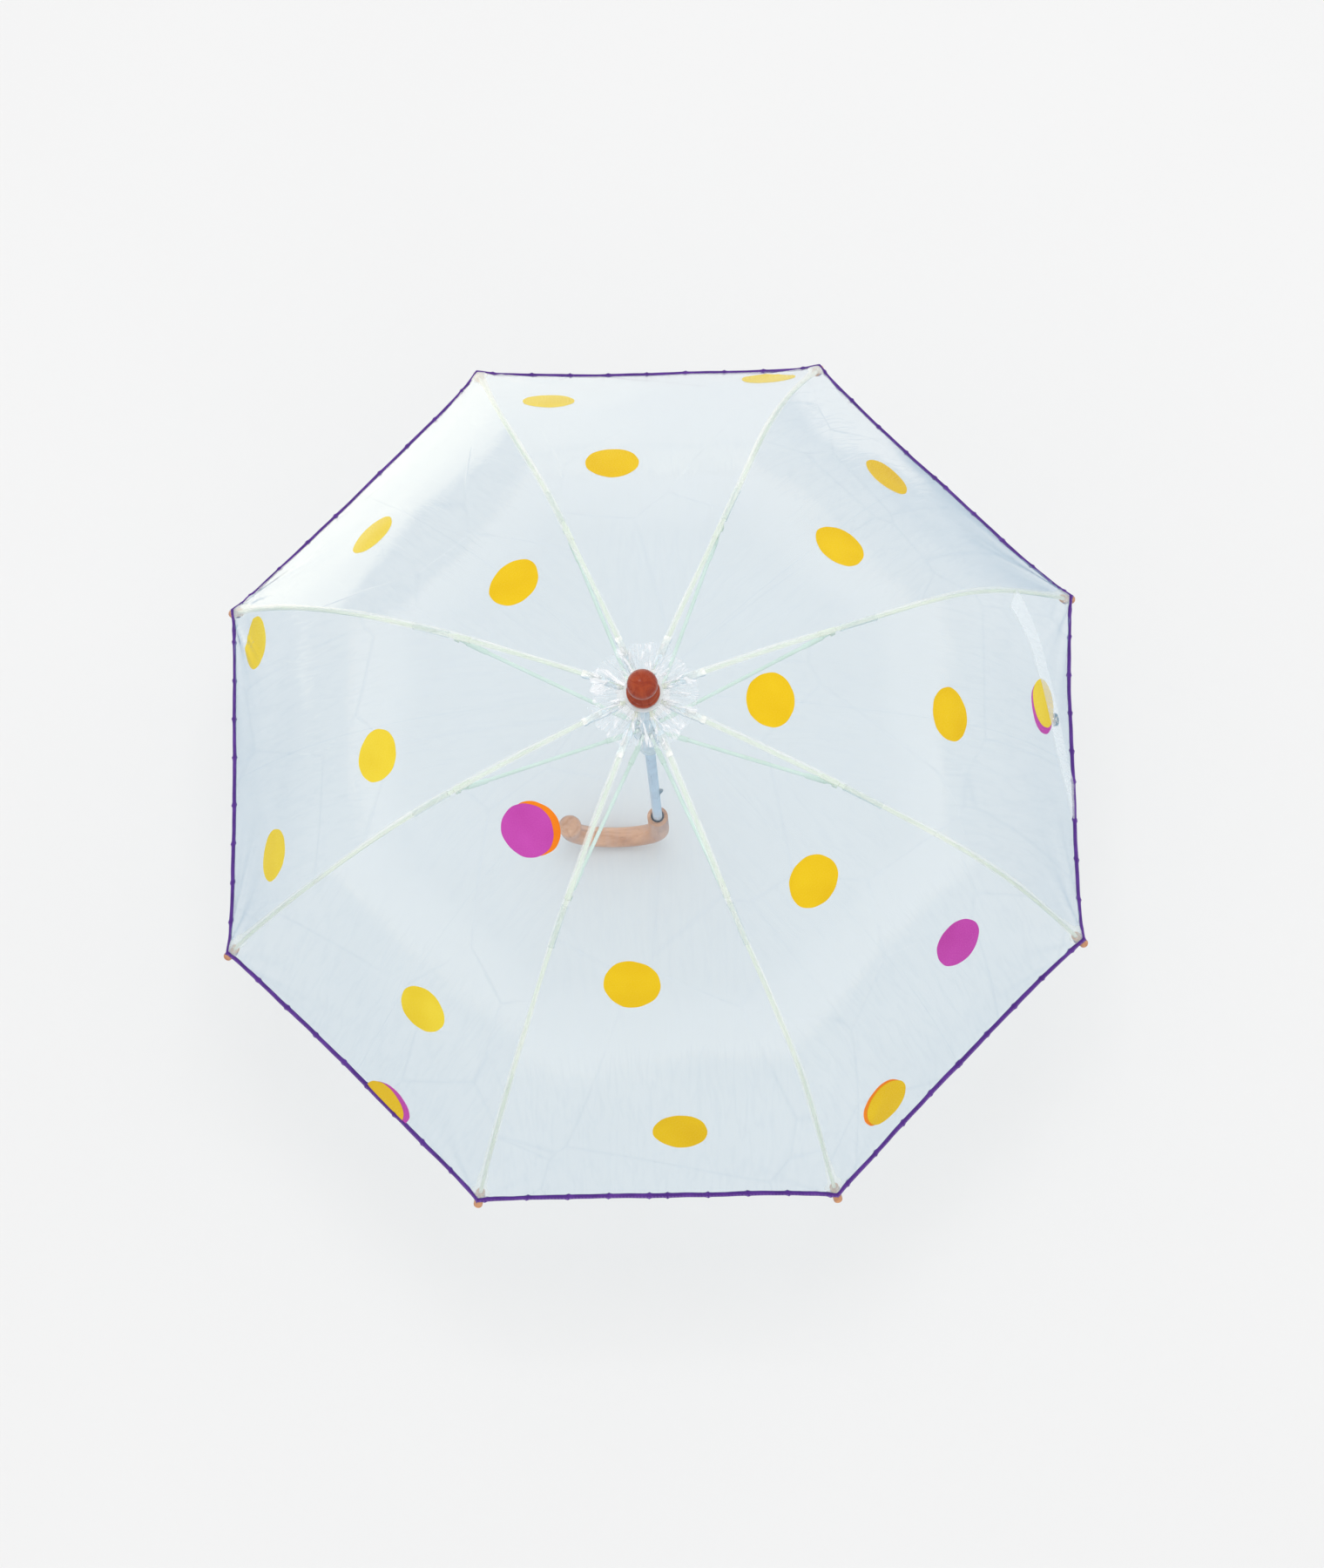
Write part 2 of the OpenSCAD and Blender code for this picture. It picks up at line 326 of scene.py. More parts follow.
def points_of(piece):
    co = np.zeros(len(piece.data.vertices) * 3)
    piece.data.vertices.foreach_get("co", co)
    return co.reshape(-1, 3)


def move_points(piece, points):
    piece.data.vertices.foreach_set("co", points.astype(np.float32).ravel())


def lay_cut(piece, uv):
    """Gives each point of a piece its place on the flat cut, in metres."""
    layer = piece.data.uv_layers.new(name="cut")
    index = np.zeros(len(piece.data.loops), int)
    piece.data.loops.foreach_get("vertex_index", index)
    layer.data.foreach_set("uv", np.array(uv, np.float32)[index].ravel())


def new_piece(name, points, faces, uv=None):
    data = bpy.data.meshes.new(name)
    data.from_pydata([tuple(p) for p in points], [], faces)
    piece = bpy.data.objects.new(name, data)
    scene.collection.objects.link(piece)
    if uv is not None:
        lay_cut(piece, uv)
    data.update()
    return piece


def grid_faces(rows, columns, closed=False):
    faces = []
    for r in range(rows - 1):
        for c in range(columns if closed else columns - 1):
            d = (c + 1) % columns
            faces.append((r * columns + c, r * columns + d, (r + 1) * columns + d, (r + 1) * columns + c))
    return faces


def turned(name, rings, sides, base=0.0):
    """A turned piece: a disc, extruded up the axis and resized ring by ring, in mm above its base."""
    profile = [(base + z * mm, r * mm) for z, r in rings]
    z0, r0 = profile[0]
    pick_nothing()
    bpy.ops.mesh.primitive_circle_add(vertices=sides, radius=r0, fill_type="NGON", location=(0, 0, z0))
    piece = fresh(name)
    start_edit(piece)
    was_z, was_r = z0, r0
    for z, r in profile[1:]:
        bpy.ops.mesh.extrude_region_move(TRANSFORM_OT_translate={"value": (0, 0, z - was_z)})
        bpy.ops.transform.resize(value=(r / was_r, r / was_r, 1))
        was_z, was_r = z, r
    end_edit()
    return piece


def along(point, direction):
    """The turn that brings +Z to a direction and the origin to a point."""
    z = Vector(direction).normalized()
    x = Vector((0, 1, 0)).cross(z).normalized()
    y = z.cross(x)
    return Matrix.Translation(point) @ Matrix((x, y, z)).transposed().to_4x4()


def rib_place(i, s, drop=0.0):
    """Place on rib i at arc length s, with +Z running down the rib."""
    x, z, slope = (float(q) for q in rib_line(s))
    at = Vector((x - drop * math.sin(slope), 0, z - drop * math.cos(slope)))
    spin = Matrix.Rotation(rib_azimuth(i), 4, "Z")
    return spin @ along(at, (math.cos(slope), 0, -math.sin(slope)))


def rib_point(i, s):
    return rib_place(i, s).translation


# ---- finishes


def new_finish(name):
    material = bpy.data.materials.new(name)
    material.use_nodes = True
    tree = material.node_tree
    return material, tree, tree.nodes["Principled BSDF"]


def add(tree, kind, **settings):
    made = tree.nodes.new("ShaderNode" + kind)
    for key, value in settings.items():
        setattr(made, key, value)
    return made


def hold(node, **settings):
    """Sets a node's own sockets by name; an underscore stands for a space."""
    for name, value in settings.items():
        node.inputs[name.replace("_", " ")].default_value = value


def feed(target, value):
    if isinstance(value, Socket):
        target.id_data.links.new(value, target)
    else:
        target.default_value = value


def maths(operation, *values):
    tree = next(value.id_data for value in values if isinstance(value, Socket))
    made = add(tree, "Math", operation=operation)
    for socket, value in zip(made.inputs, values):
        feed(socket, value)
    return made.outputs[0]


def plus(*values):
    total = values[0]
    for value in values[1:]:
        total = maths("ADD", total, value)
    return total


def times(*values):
    total = values[0]
    for value in values[1:]:
        total = maths("MULTIPLY", total, value)
    return total


def minus(first, second):
    return maths("SUBTRACT", first, second)


def colour_with(shader, value):
    feed(shader.inputs["Base Color"], value)


def roughen(shader, value):
    feed(shader.inputs["Roughness"], value)


def object_place(tree, scale=(1, 1, 1), shift=(0, 0, 0)):
    coordinates = add(tree, "TexCoord")
    mapping = add(tree, "Mapping")
    feed(mapping.inputs["Vector"], coordinates.outputs["Object"])
    hold(mapping, Scale=scale, Location=shift)
    return mapping.outputs[0]


def cut_place(tree, scale=(1, 1, 1)):
    coordinates = add(tree, "UVMap", uv_map="cut")
    mapping = add(tree, "Mapping")
    feed(mapping.inputs["Vector"], coordinates.outputs[0])
    hold(mapping, Scale=scale)
    return mapping.outputs[0]


def cloudy(place, scale, detail=3.0, rough=0.5, distortion=0.0):
    made = add(place.id_data, "TexNoise")
    feed(made.inputs["Vector"], place)
    hold(made, Scale=scale, Detail=detail, Roughness=rough, Distortion=distortion)
    return made.outputs["Fac"]


def shades(share, *stops):
    made = add(share.id_data, "ValToRGB")
    feed(made.inputs[0], share)
    ramp = made.color_ramp
    while len(ramp.elements) < len(stops):
        ramp.elements.new(0.5)
    for element, (place, colour) in zip(ramp.elements, stops):
        element.position = place
        element.color = (*colour, 1)
    return made.outputs[0]


def spread_over(value, low, high, to_low, to_high):
    made = add(value.id_data, "MapRange")
    for socket, item in zip(made.inputs, (value, low, high, to_low, to_high)):
        feed(socket, item)
    return made.outputs[0]


def mixed(share, first, second):
    made = add(share.id_data, "Mix", data_type="RGBA")
    feed(made.inputs[0], share)
    feed(made.inputs[6], first if isinstance(first, Socket) else (*first, 1))
    feed(made.inputs[7], second if isinstance(second, Socket) else (*second, 1))
    return made.outputs[2]


def relief(shader, height, distance, strength=1.0):
    made = add(shader.id_data, "Bump")
    hold(made, Strength=strength, Distance=distance)
    feed(made.inputs["Height"], height)
    feed(shader.inputs["Normal"], made.outputs[0])


def at_a_slant(tree, power):
    """Gloss that grows towards the edges, as on any clear skin."""
    weight = add(tree, "LayerWeight")
    hold(weight, Blend=0.5)
    return maths("POWER", weight.outputs["Facing"], power)


def see_through(shader, share, tint):
    """Lets light through wherever the share of the shader's own surface is low."""
    tree = shader.id_data
    clear = add(tree, "BsdfTransparent")
    clear.inputs[0].default_value = (*tint, 1)
    mix = add(tree, "MixShader")
    feed(mix.inputs[0], share)
    feed(mix.inputs[1], clear.outputs[0])
    feed(mix.inputs[2], shader.outputs[0])
    feed(tree.nodes["Material Output"].inputs["Surface"], mix.outputs[0])


# depth of the film's fine waves, which the prints on it share
FILM_WAVE = 1.2 * mm


def film_finish(name, colour, mirror, least, most, haze, tint, rough,
                pleats=(6, 0.7), white=0.0, thin=9.0, patches=0.0):
    """Clear film: it mirrors more at a slant, and lets the rest through, slightly tinted."""
    material, tree, shader = new_finish(name)
    place = cut_place(tree)
    wavy = cloudy(place, 22, 2, 0.45, 0.4)
    fine = cloudy(cut_place(tree, (1, 0.3, 1)), 160, 3, 0.55)
    streak = cloudy(cut_place(tree, (*pleats, 1)), 24, 2, 0.5, 0.6)
    ridge = maths("ABSOLUTE", times(minus(streak, 0.5), thin))
    crease = maths("POWER", maths("MAXIMUM", minus(1.0, ridge), 0.0), 3.0)
    folded = add(tree, "TexVoronoi", feature="DISTANCE_TO_EDGE")
    feed(folded.inputs["Vector"], cut_place(tree, (1.0, 0.7, 1)))
    hold(folded, Scale=8.0)
    fold = maths("POWER", spread_over(folded.outputs[0], 0.0, 0.016, 1.0, 0.0), 2.0)
    height = plus(wavy, times(fine, 0.06), times(crease, 0.1), times(fold, 0.16))
    relief(shader, height, FILM_WAVE, 0.8)
    hold(shader, Base_Color=(*colour, 1), Metallic=mirror)
    roughen(shader, spread_over(fine, 0.3, 0.7, rough, rough + 0.05))
    slant = at_a_slant(tree, 4.5)
    share = maths("MULTIPLY_ADD", slant, most, least)
    dusty = spread_over(cloudy(place, 9, 4, 0.6), 0.35, 0.75, 0.0, haze)
    # with white above nought, as on the gathered film, the whitened creases are painted glints of the
    # wrinkles
    share = plus(share, plus(dusty, times(crease, haze + white)), times(fold, 0.05))
    # the white patches over the crumples are painted glints of the crumpled film
    if patches > 0:
        crumple_glint_mask = cloudy(cut_place(tree, (9, 2.4, 1)), 24, 3, 0.55, 0.3)
        share = plus(share, spread_over(crumple_glint_mask, 0.54, 0.60, 0.0, patches))
    see_through(shader, share, tint)
    return material


def print_finish(name, light, dark):
    """Ink printed on the film: faint patches, and the same waves as the film under it."""
    material, tree, shader = new_finish(name)
    place = cut_place(tree)
    patch = cloudy(place, 30, 3, 0.5)
    colour_with(shader, shades(patch, (0.3, dark), (0.7, light)))
    specks = cloudy(place, 900, 2, 0.6)
    roughen(shader, spread_over(specks, 0.3, 0.7, 0.2, 0.34))
    height = plus(cloudy(place, 22, 2, 0.45, 0.4), times(specks, 0.05))
    relief(shader, height, FILM_WAVE, 0.8)
    hold(shader, Specular_IOR_Level=0.14, Coat_Weight=0.03, Coat_Roughness=0.08)
    return material


def binding_finish(name):
    """Woven tape folded over the edge: cross ribs, a stitched line, and high threads painted paler than the
    hollows, which is painted light and shade on the weave.
    """
    material, tree, shader = new_finish(name)
    place = add(tree, "UVMap", uv_map="cut").outputs[0]
    parts = add(tree, "SeparateXYZ")
    feed(parts.inputs[0], place)
    length, girth = parts.outputs[0], parts.outputs[1]

    def waves(value, pitch):
        return maths("SINE", times(value, 2 * math.pi / pitch))

    over_under = times(waves(length, 0.9 * mm), waves(girth, 1.1 * mm))
    weave = maths("MULTIPLY_ADD", over_under, 0.5, 0.5)
    worn = cloudy(place, 70, 3, 0.6)
    # painted light and shade: the weave makes the high threads paler and the hollows between threads darker;
    # the noise adds random tone
    thread = plus(times(weave, 0.45), times(worn, 0.6))
    # the deep and pale ends are the tape's tone in shade and in light
    deep, violet, pale = (0.030, 0.006, 0.105), (0.080, 0.017, 0.225), (0.190, 0.065, 0.400)
    colour = shades(thread, (0.2, deep), (0.55, violet), (0.9, pale))
    dash = maths("GREATER_THAN", waves(length, 2.6 * mm), -0.35)
    line = maths("LESS_THAN", maths("ABSOLUTE", minus(girth, 2.4 * mm)), 0.28 * mm)
    stitch = times(dash, line)
    colour = mixed(times(stitch, 0.8), colour, (0.22, 0.09, 0.44))
    colour_with(shader, colour)
    hold(shader, Roughness=0.62, Specular_IOR_Level=0.25, Sheen_Weight=0.08, Sheen_Roughness=0.4)
    relief(shader, plus(weave, stitch), 0.18 * mm, 0.9)
    return material


# the crook's bend: its radius, and how far its centre lies below the origin
CROOK_R, CROOK_DROP = 37.5 * mm, 27 * mm


def wood_finish(name, light, dark, coat, rough, crook=False, scale=1.0):
    """Wood with its grain along the piece; on a steam-bent crook the grain follows the bend."""
    material, tree, shader = new_finish(name)
    coordinates = add(tree, "TexCoord").outputs["Object"]
    if crook:
        parts = add(tree, "SeparateXYZ")
        feed(parts.inputs[0], coordinates)
        x = plus(parts.outputs[0], CROOK_R)
        z = plus(parts.outputs[2], CROOK_DROP)
        below = maths("LESS_THAN", z, 0.0)
        above = minus(1.0, below)
        radius = maths("SQRT", plus(times(x, x), times(z, z)))
        bent = times(maths("ARCTAN2", z, x), CROOK_R)
        side = maths("ABSOLUTE", x)
        across = plus(times(below, radius), times(above, side))
        run = plus(times(below, bent), times(above, z))
        join = add(tree, "CombineXYZ")
        feed(join.inputs[0], across)
        feed(join.inputs[1], parts.outputs[1])
        feed(join.inputs[2], run)
        coordinates = join.outputs[0]
    mapping = add(tree, "Mapping")
    feed(mapping.inputs["Vector"], coordinates)
    hold(mapping, Scale=(1, 1, 0.10), Rotation=(0.05, 0.03, 0.2))
    rings = cloudy(mapping.outputs[0], 120 * scale, 4, 0.55, 0.8)
    fleck = add(tree, "Mapping")
    feed(fleck.inputs["Vector"], coordinates)
    hold(fleck, Scale=(1, 1, 0.25))
    pores = cloudy(fleck.outputs[0], 900 * scale, 3, 0.6)
    broad = cloudy(coordinates, 28, 2, 0.5)
    middle = tuple((a + b) / 2 for a, b in zip(light, dark))
    figure = plus(times(rings, 0.75), times(broad, 0.25))
    grain = shades(figure, (0.36, dark), (0.5, middle), (0.62, light))
    spots = spread_over(pores, 0.60, 0.68, 0.0, 0.55)
    colour_with(shader, mixed(spots, grain, tuple(c * 0.45 for c in dark)))
    roughen(shader, spread_over(rings, 0.3, 0.7, rough, rough + 0.12))
    hold(shader, Specular_IOR_Level=0.35, Coat_Weight=coat, Coat_Roughness=0.09)
    relief(shader, minus(times(rings, 0.6), times(spots, 0.8)), 0.12 * mm, 0.6)
    return material


def rod_finish(name, light, dark, glow):
    """Glass-fibre rod: fine streaks along it under a thin gloss."""
    material, tree, shader = new_finish(name)
    place = object_place(tree)
    patch = cloudy(place, 45, 3, 0.6)
    fibre = cloudy(place, 1400, 2, 0.7)
    streaks = plus(times(patch, 0.7), times(fibre, 0.3))
    colour_with(shader, shades(streaks, (0.35, dark), (0.62, light)))
    roughen(shader, spread_over(fibre, 0.3, 0.7, 0.24, 0.42))
    hold(shader, Subsurface_Weight=glow, Subsurface_Radius=(2 * mm, 2 * mm, 2 * mm), Coat_Weight=0.3)
    relief(shader, fibre, 0.06 * mm, 0.5)
    return material


def plastic_finish(name, colour, clear, rough):
    """Moulded plastic, from white to nearly clear."""
    material, tree, shader = new_finish(name)
    place = object_place(tree)
    flow = cloudy(place, 60, 3, 0.5, 0.5)
    grain = cloudy(place, 1500, 2, 0.6)
    darker, lighter = tuple(c * 0.94 for c in colour), tuple(min(1.0, c * 1.05) for c in colour)
    colour_with(shader, shades(flow, (0.35, darker), (0.65, lighter)))
    roughen(shader, spread_over(grain, 0.3, 0.7, rough, rough + 0.1))
    hold(shader, Coat_Weight=0.5, Coat_Roughness=0.06)
    hold(shader, Subsurface_Weight=0.15, Subsurface_Radius=(3 * mm, 3 * mm, 3 * mm))
    relief(shader, plus(flow, times(grain, 0.1)), 0.15 * mm, 0.5)
    if clear > 0:
        share = maths("MULTIPLY_ADD", at_a_slant(tree, 2.0), clear * 0.7, 1 - clear)
        see_through(shader, share, (0.93, 0.96, 0.97))
    return material


def metal_finish(name, colour, rough, brushed=(1, 1, 1), metallic=1.0):
    """Metal or metallic paint with fine drawn lines and faint stains."""
    material, tree, shader = new_finish(name)
    lines = cloudy(object_place(tree, brushed), 600, 3, 0.6)
    stain = cloudy(object_place(tree), 55, 3, 0.6)
    stained = tuple(c * 0.82 for c in colour)
    colour_with(shader, shades(stain, (0.3, stained), (0.7, colour)))
    hold(shader, Metallic=metallic)
    roughen(shader, spread_over(lines, 0.3, 0.7, rough, rough + 0.16))
    relief(shader, lines, 0.04 * mm, 0.6)
    return material


# films: colour, mirror, least and most cover, haze, tint, roughness
CLEAR = (0.93, 0.96, 1.0), 0.82, 0.035, 0.75, 0.03, (0.955, 0.984, 0.998), 0.05
SEAM = (1.0, 1.0, 0.96), 0.25, 0.14, 0.40, 0.14, (0.985, 0.988, 0.980), 0.10
STRAP = (0.99, 1.0, 1.0), 0.12, 0.20, 0.14, 0.10, (0.975, 0.985, 0.990), 0.08
GATHERED = (1.0, 1.0, 1.0), 0.30, 0.06, 0.60, 0.03, (0.985, 0.992, 0.996), 0.07
# the knob's light and dark grain
RED = (0.36, 0.052, 0.008), (0.25, 0.026, 0.004)

finishes = {
    "clear_film": film_finish("clear film", *CLEAR),
    "seam_film": film_finish("welded seam", *SEAM),
    "strap_film": film_finish("thick film", *STRAP),
    # the gathered film's white creases and patches are painted glints of its gathers
    "crown_film": film_finish("gathered film", *GATHERED, (26, 2.2), white=0.75, thin=20.0, patches=0.62),
    "yellow": print_finish("yellow print", (0.73, 0.49, 0.008), (0.68, 0.43, 0.004)),
    "light_yellow": print_finish("light yellow print", (0.77, 0.60, 0.040), (0.72, 0.53, 0.022)),
    "magenta": print_finish("magenta print", (0.49, 0.065, 0.385), (0.44, 0.050, 0.33)),
    "orange": print_finish("orange print", (0.80, 0.22, 0.008), (0.72, 0.17, 0.005)),
    "binding": binding_finish("edge binding"),
    "light_wood": wood_finish("light beech", (0.76, 0.43, 0.265), (0.5, 0.235, 0.125), 0.2, 0.34, crook=True),
    "red_wood": wood_finish("red varnished wood", *RED, 0.12, 0.22, scale=1.2),
    "tip_wood": wood_finish("tip wood", (0.68, 0.33, 0.15), (0.50, 0.20, 0.08), 0.2, 0.34, scale=1.6),
    "rib": rod_finish("rib glass fibre", (0.92, 0.93, 0.76), (0.82, 0.84, 0.66), 0.2),
    "stretcher": rod_finish("stretcher glass fibre", (0.82, 0.89, 0.78), (0.73, 0.82, 0.70), 0.2),
    "white_plastic": plastic_finish("white plastic", (0.90, 0.91, 0.90), 0.0, 0.18),
    "milky_plastic": plastic_finish("milky plastic", (0.86, 0.89, 0.90), 0.45, 0.16),
    "joiner_plastic": plastic_finish("clear joiner", (0.88, 0.92, 0.88), 0.74, 0.14),
    "shaft": metal_finish("coated steel", (0.84, 0.91, 0.98), 0.26, (1, 1, 0.02), 0.40),
    "wire": metal_finish("steel wire", (0.62, 0.62, 0.60), 0.28),
    "nickel": metal_finish("nickel", (0.90, 0.88, 0.84), 0.12),
    "socket": metal_finish("dark steel", (0.10, 0.10, 0.11), 0.35),
}


def finish_with(piece, name):
    piece.data.materials.clear()
    piece.data.materials.append(finishes[name])
    return piece


# ---- canopy


def fold_with(piece, half):
    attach(piece, half)
    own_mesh(piece)


def thicken(piece, thickness):
    modifier = piece.modifiers.new("thickness", "SOLIDIFY")
    modifier.thickness, modifier.offset = thickness, 0.0
    modifier.use_even_offset = False
    apply_all(piece)


def smooth(piece, angle=50):
    pick_only(piece)
    bpy.ops.object.shade_smooth_by_angle(angle=math.radians(angle))


ROWS, COLUMNS = 132, 34
FILM_START = 12 * mm
with_half = {}


def every_half(make):
    return [make(gore, side) for gore in range(RIBS) for side in (-1, 1)]


# the gores lie side by side on the flat cut, this far apart
CUT_STEP = 0.4


def patch_of_film(kind, gore, side, grid_s, grid_v, points, thickness, finish):
    """A grid of points on half a gore made into a piece with its flat cut and thickness."""
    half, rib = half_of(gore, side)
    uv = np.stack([grid_v * rib_line(grid_s)[0] * math.sin(HALF) + CUT_STEP * gore, grid_s], axis=-1)
    faces = grid_faces(*grid_s.shape)
    if side < 0:
        faces = [f[::-1] for f in faces]
    piece = new_piece(kind + half[5:], points.reshape(-1, 3), faces, uv.reshape(-1, 2))
    thicken(piece, thickness)
    smooth(piece)
    finish_with(piece, finish)
    return piece, half, rib


def half_gore(gore, side):
    s = FILM_START + (RIM - FILM_START) * np.linspace(0, 1, ROWS) ** 0.96
    v = side * np.linspace(0, 1, COLUMNS) ** 0.9
    grid_s, grid_v = np.meshgrid(s, v, indexing="ij")
    grid_s = grid_s + (hem_line(grid_v) - RIM) * np.clip((grid_s - 0.35) / (RIM - 0.35), 0, 1)
    points = film_points(gore, grid_s, grid_v)
    made = patch_of_film("canopy_", gore, side, grid_s, grid_v, points, FILM_T, "clear_film")
    piece, half, rib = made
    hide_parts(half)
    area = float(np.trapz(rib_line(s)[0] * math.sin(HALF), s))
    with_half[half] = []
    return piece, half, rib, area


canopy = every_half(half_gore)


def edge_binding(gore, side):
    """Tape folded over the film's edge, from the rib tip to the gore's middle."""
    half, rib = half_of(gore, side)
    count = 110
    v = side * (1 - np.linspace(0, 1, count) ** 1.1)
    hem = hem_line(v)
    edge = film_points(gore, hem - 0.2 * mm, v)
    above = film_points(gore, hem - 6 * mm, v)
    outer = film_points(gore, hem - 0.2 * mm, v, 1 * mm)
    down = edge - above
    down /= np.linalg.norm(down, axis=1)[:, None]
    out = outer - edge
    out -= (out * down).sum(1)[:, None] * down
    out /= np.linalg.norm(out, axis=1)[:, None]
    x = float(rib_line(RIM)[0])
    length = np.abs(v) * x * math.sin(HALF)
    ripple = 0.30 * np.sin(length / 0.0043 + gore) * np.sin(length / 0.0117 + 2 * gore)
    tack = np.exp(-((((length + 0.006 * gore) % 0.031 - 0.012) / 0.0011) ** 2))
    width = (4.8 + 0.3 * np.sin(length / 0.009) + 1.7 * tack) * mm
    thick = (1.25 + 0.8 * tack) * mm
    sides = 14
    turn = np.linspace(0, 2 * np.pi, sides, endpoint=False)
    cos, sin = np.cos(turn), np.sin(turn)
    flat = np.sign(cos) * np.abs(cos) ** 0.6, np.sign(sin) * np.abs(sin) ** 0.7
    rings = (
        edge[:, None]
        + down[:, None] * (((0.3 * ripple - 1.1) * mm)[:, None] + width[:, None] / 2 * flat[0])[..., None]
        + out[:, None] * ((0.25 * mm * ripple)[:, None] + thick[:, None] * flat[1])[..., None]
    )
    faces = grid_faces(count, sides, closed=True)
    faces += [tuple(range(sides)), tuple((count - 1) * sides + c for c in range(sides))[::-1]]
    run = np.repeat(length[:, None] * side, sides, axis=1)
    around = np.repeat((np.arange(sides) * 0.0098 / sides)[None], count, axis=0)
    uv = np.stack([run, around], axis=-1).reshape(-1, 2)
    piece = new_piece("binding_" + half[5:], rings.reshape(-1, 3), faces, uv)
    start_edit(piece)
    end_edit()
    smooth(piece, 60)
    finish_with(piece, "binding")
    with_half[half].append(piece)
    return piece, half, rib


bindings = every_half(edge_binding)


def welded_seam(gore, side):
    """Second layer of film where two gores are welded together over a rib, wider at the tip."""
    rows, columns = 120, 6
    s = np.linspace(24 * mm, RIM - 9 * mm, rows)
    flare = 5.5 * np.exp(-(((RIM - s) / 0.030) ** 2)) * (1 + 0.3 * np.sin(s / 0.0037 + gore))
    width = (2.5 + 0.5 * np.sin(s / 0.041 + gore) + 0.25 * np.sin(s / 0.017 + 2 * gore) + flare) * mm
    inner = 1 - width / (rib_line(s)[0] * math.sin(HALF))
    share = np.linspace(0, 1, columns)
    grid_v = side * (inner[:, None] * (1 - share) + share)
    grid_s = np.repeat(s[:, None], columns, axis=1)
    crest = 0.35 * mm + 0.25 * mm * np.sin(share * np.pi)[None] * (1 + 0.25 * np.sin(grid_s / 0.027))
    points = film_points(gore, grid_s, grid_v, crest)
    made = patch_of_film("seam_", gore, side, grid_s, grid_v, points, 0.2 * mm, "seam_film")
    with_half[made[1]].append(made[0])
    return made


seams = every_half(welded_seam)


def crown_rosette(gore, side):
    """Gathered round patch of film that covers the canopy's hole at the crown."""
    rows, columns = 26, 30
    v = side * np.linspace(0, 1, columns)
    turn = (gore + v / 2) * 2 * np.pi / RIBS
    reach = 33 + 1.2 * np.sin(5 * turn + 1) + 0.8 * np.sin(19 * turn)
    share = np.linspace(0, 1, rows)
    grid_s = 6 * mm + (reach[None] * mm - 6 * mm) * share[:, None]
    grid_v = np.repeat(v[None], rows, axis=0)
    swell = np.sin(np.pi * np.clip(share * 1.15, 0, 1)) ** 0.7
    ruffle = 0.95 + 0.75 * np.sin(32 * turn + 1.5 * np.sin(5 * turn)) + 0.35 * np.sin(57 * turn)
    lift = (0.45 + np.outer(swell, np.maximum(ruffle, 0.05))) * mm
    points = film_points(gore, grid_s, grid_v, lift)
    made = patch_of_film("rosette_", gore, side, grid_s, grid_v, points, 0.2 * mm, "crown_film")
    with_half[made[1]].append(made[0])
    return made


rosettes = every_half(crown_rosette)

# ---- printed dots

# one unit of the prints' table
PRINT_SCALE = 1.02 * mm
# gore, across, arc from the crown, radius, colour
DOTS = [
    (0, 0, 91, 19.8, "yellow"), (0, 8, 258, 19.8, "yellow"),
    (0, 34, 393, 19.8, "magenta"), (0, 38, 395, 18.6, "light_yellow"),
    (1, -9, 217, 19.8, "yellow"), (1, 19, 355, 19.8, "yellow"),
    (2, 24, 223, 19.8, "yellow"), (2, 74, 346, 19.8, "light_yellow"), (2, -95, 405, 19.8, "light_yellow"),
    (3, -1, 142, 19.8, "yellow"), (3, 30, 326, 19.8, "light_yellow"),
    (4, 22, 221, 19.8, "light_yellow"), (4, 73, 363, 19.8, "light_yellow"),
    (4, -98, 400, 19.8, "light_yellow"),
    (5, 6, 124, 20.2, "orange"), (5, 3, 129, 20.2, "magenta"), (5, 21, 317, 19.8, "light_yellow"),
    (5, 36, 444, 20.2, "magenta"), (5, 32, 448, 19.6, "yellow"),
    (6, -12, 217, 20.2, "yellow"), (6, 18, 368, 19.8, "yellow"),
    (7, -3, 188, 19.8, "yellow"), (7, 52, 333, 19.8, "magenta"),
    (7, -66, 407, 20.0, "orange"), (7, -64, 410, 19.6, "yellow"),
]


def trim_cut(piece, side, short):
    """Cuts a flat piece off at its gore's middle line, and a little short of the hem."""
    start_edit(piece)
    bpy.ops.mesh.bisect(plane_co=(0, 0, 0), plane_no=(-side, 0, 0), clear_outer=True)
    pick_whole()
    bpy.ops.mesh.bisect(plane_co=(0, RIM - short, 0), plane_no=(0, 1, 0), clear_outer=True)
    bpy.ops.object.mode_set(mode="OBJECT")


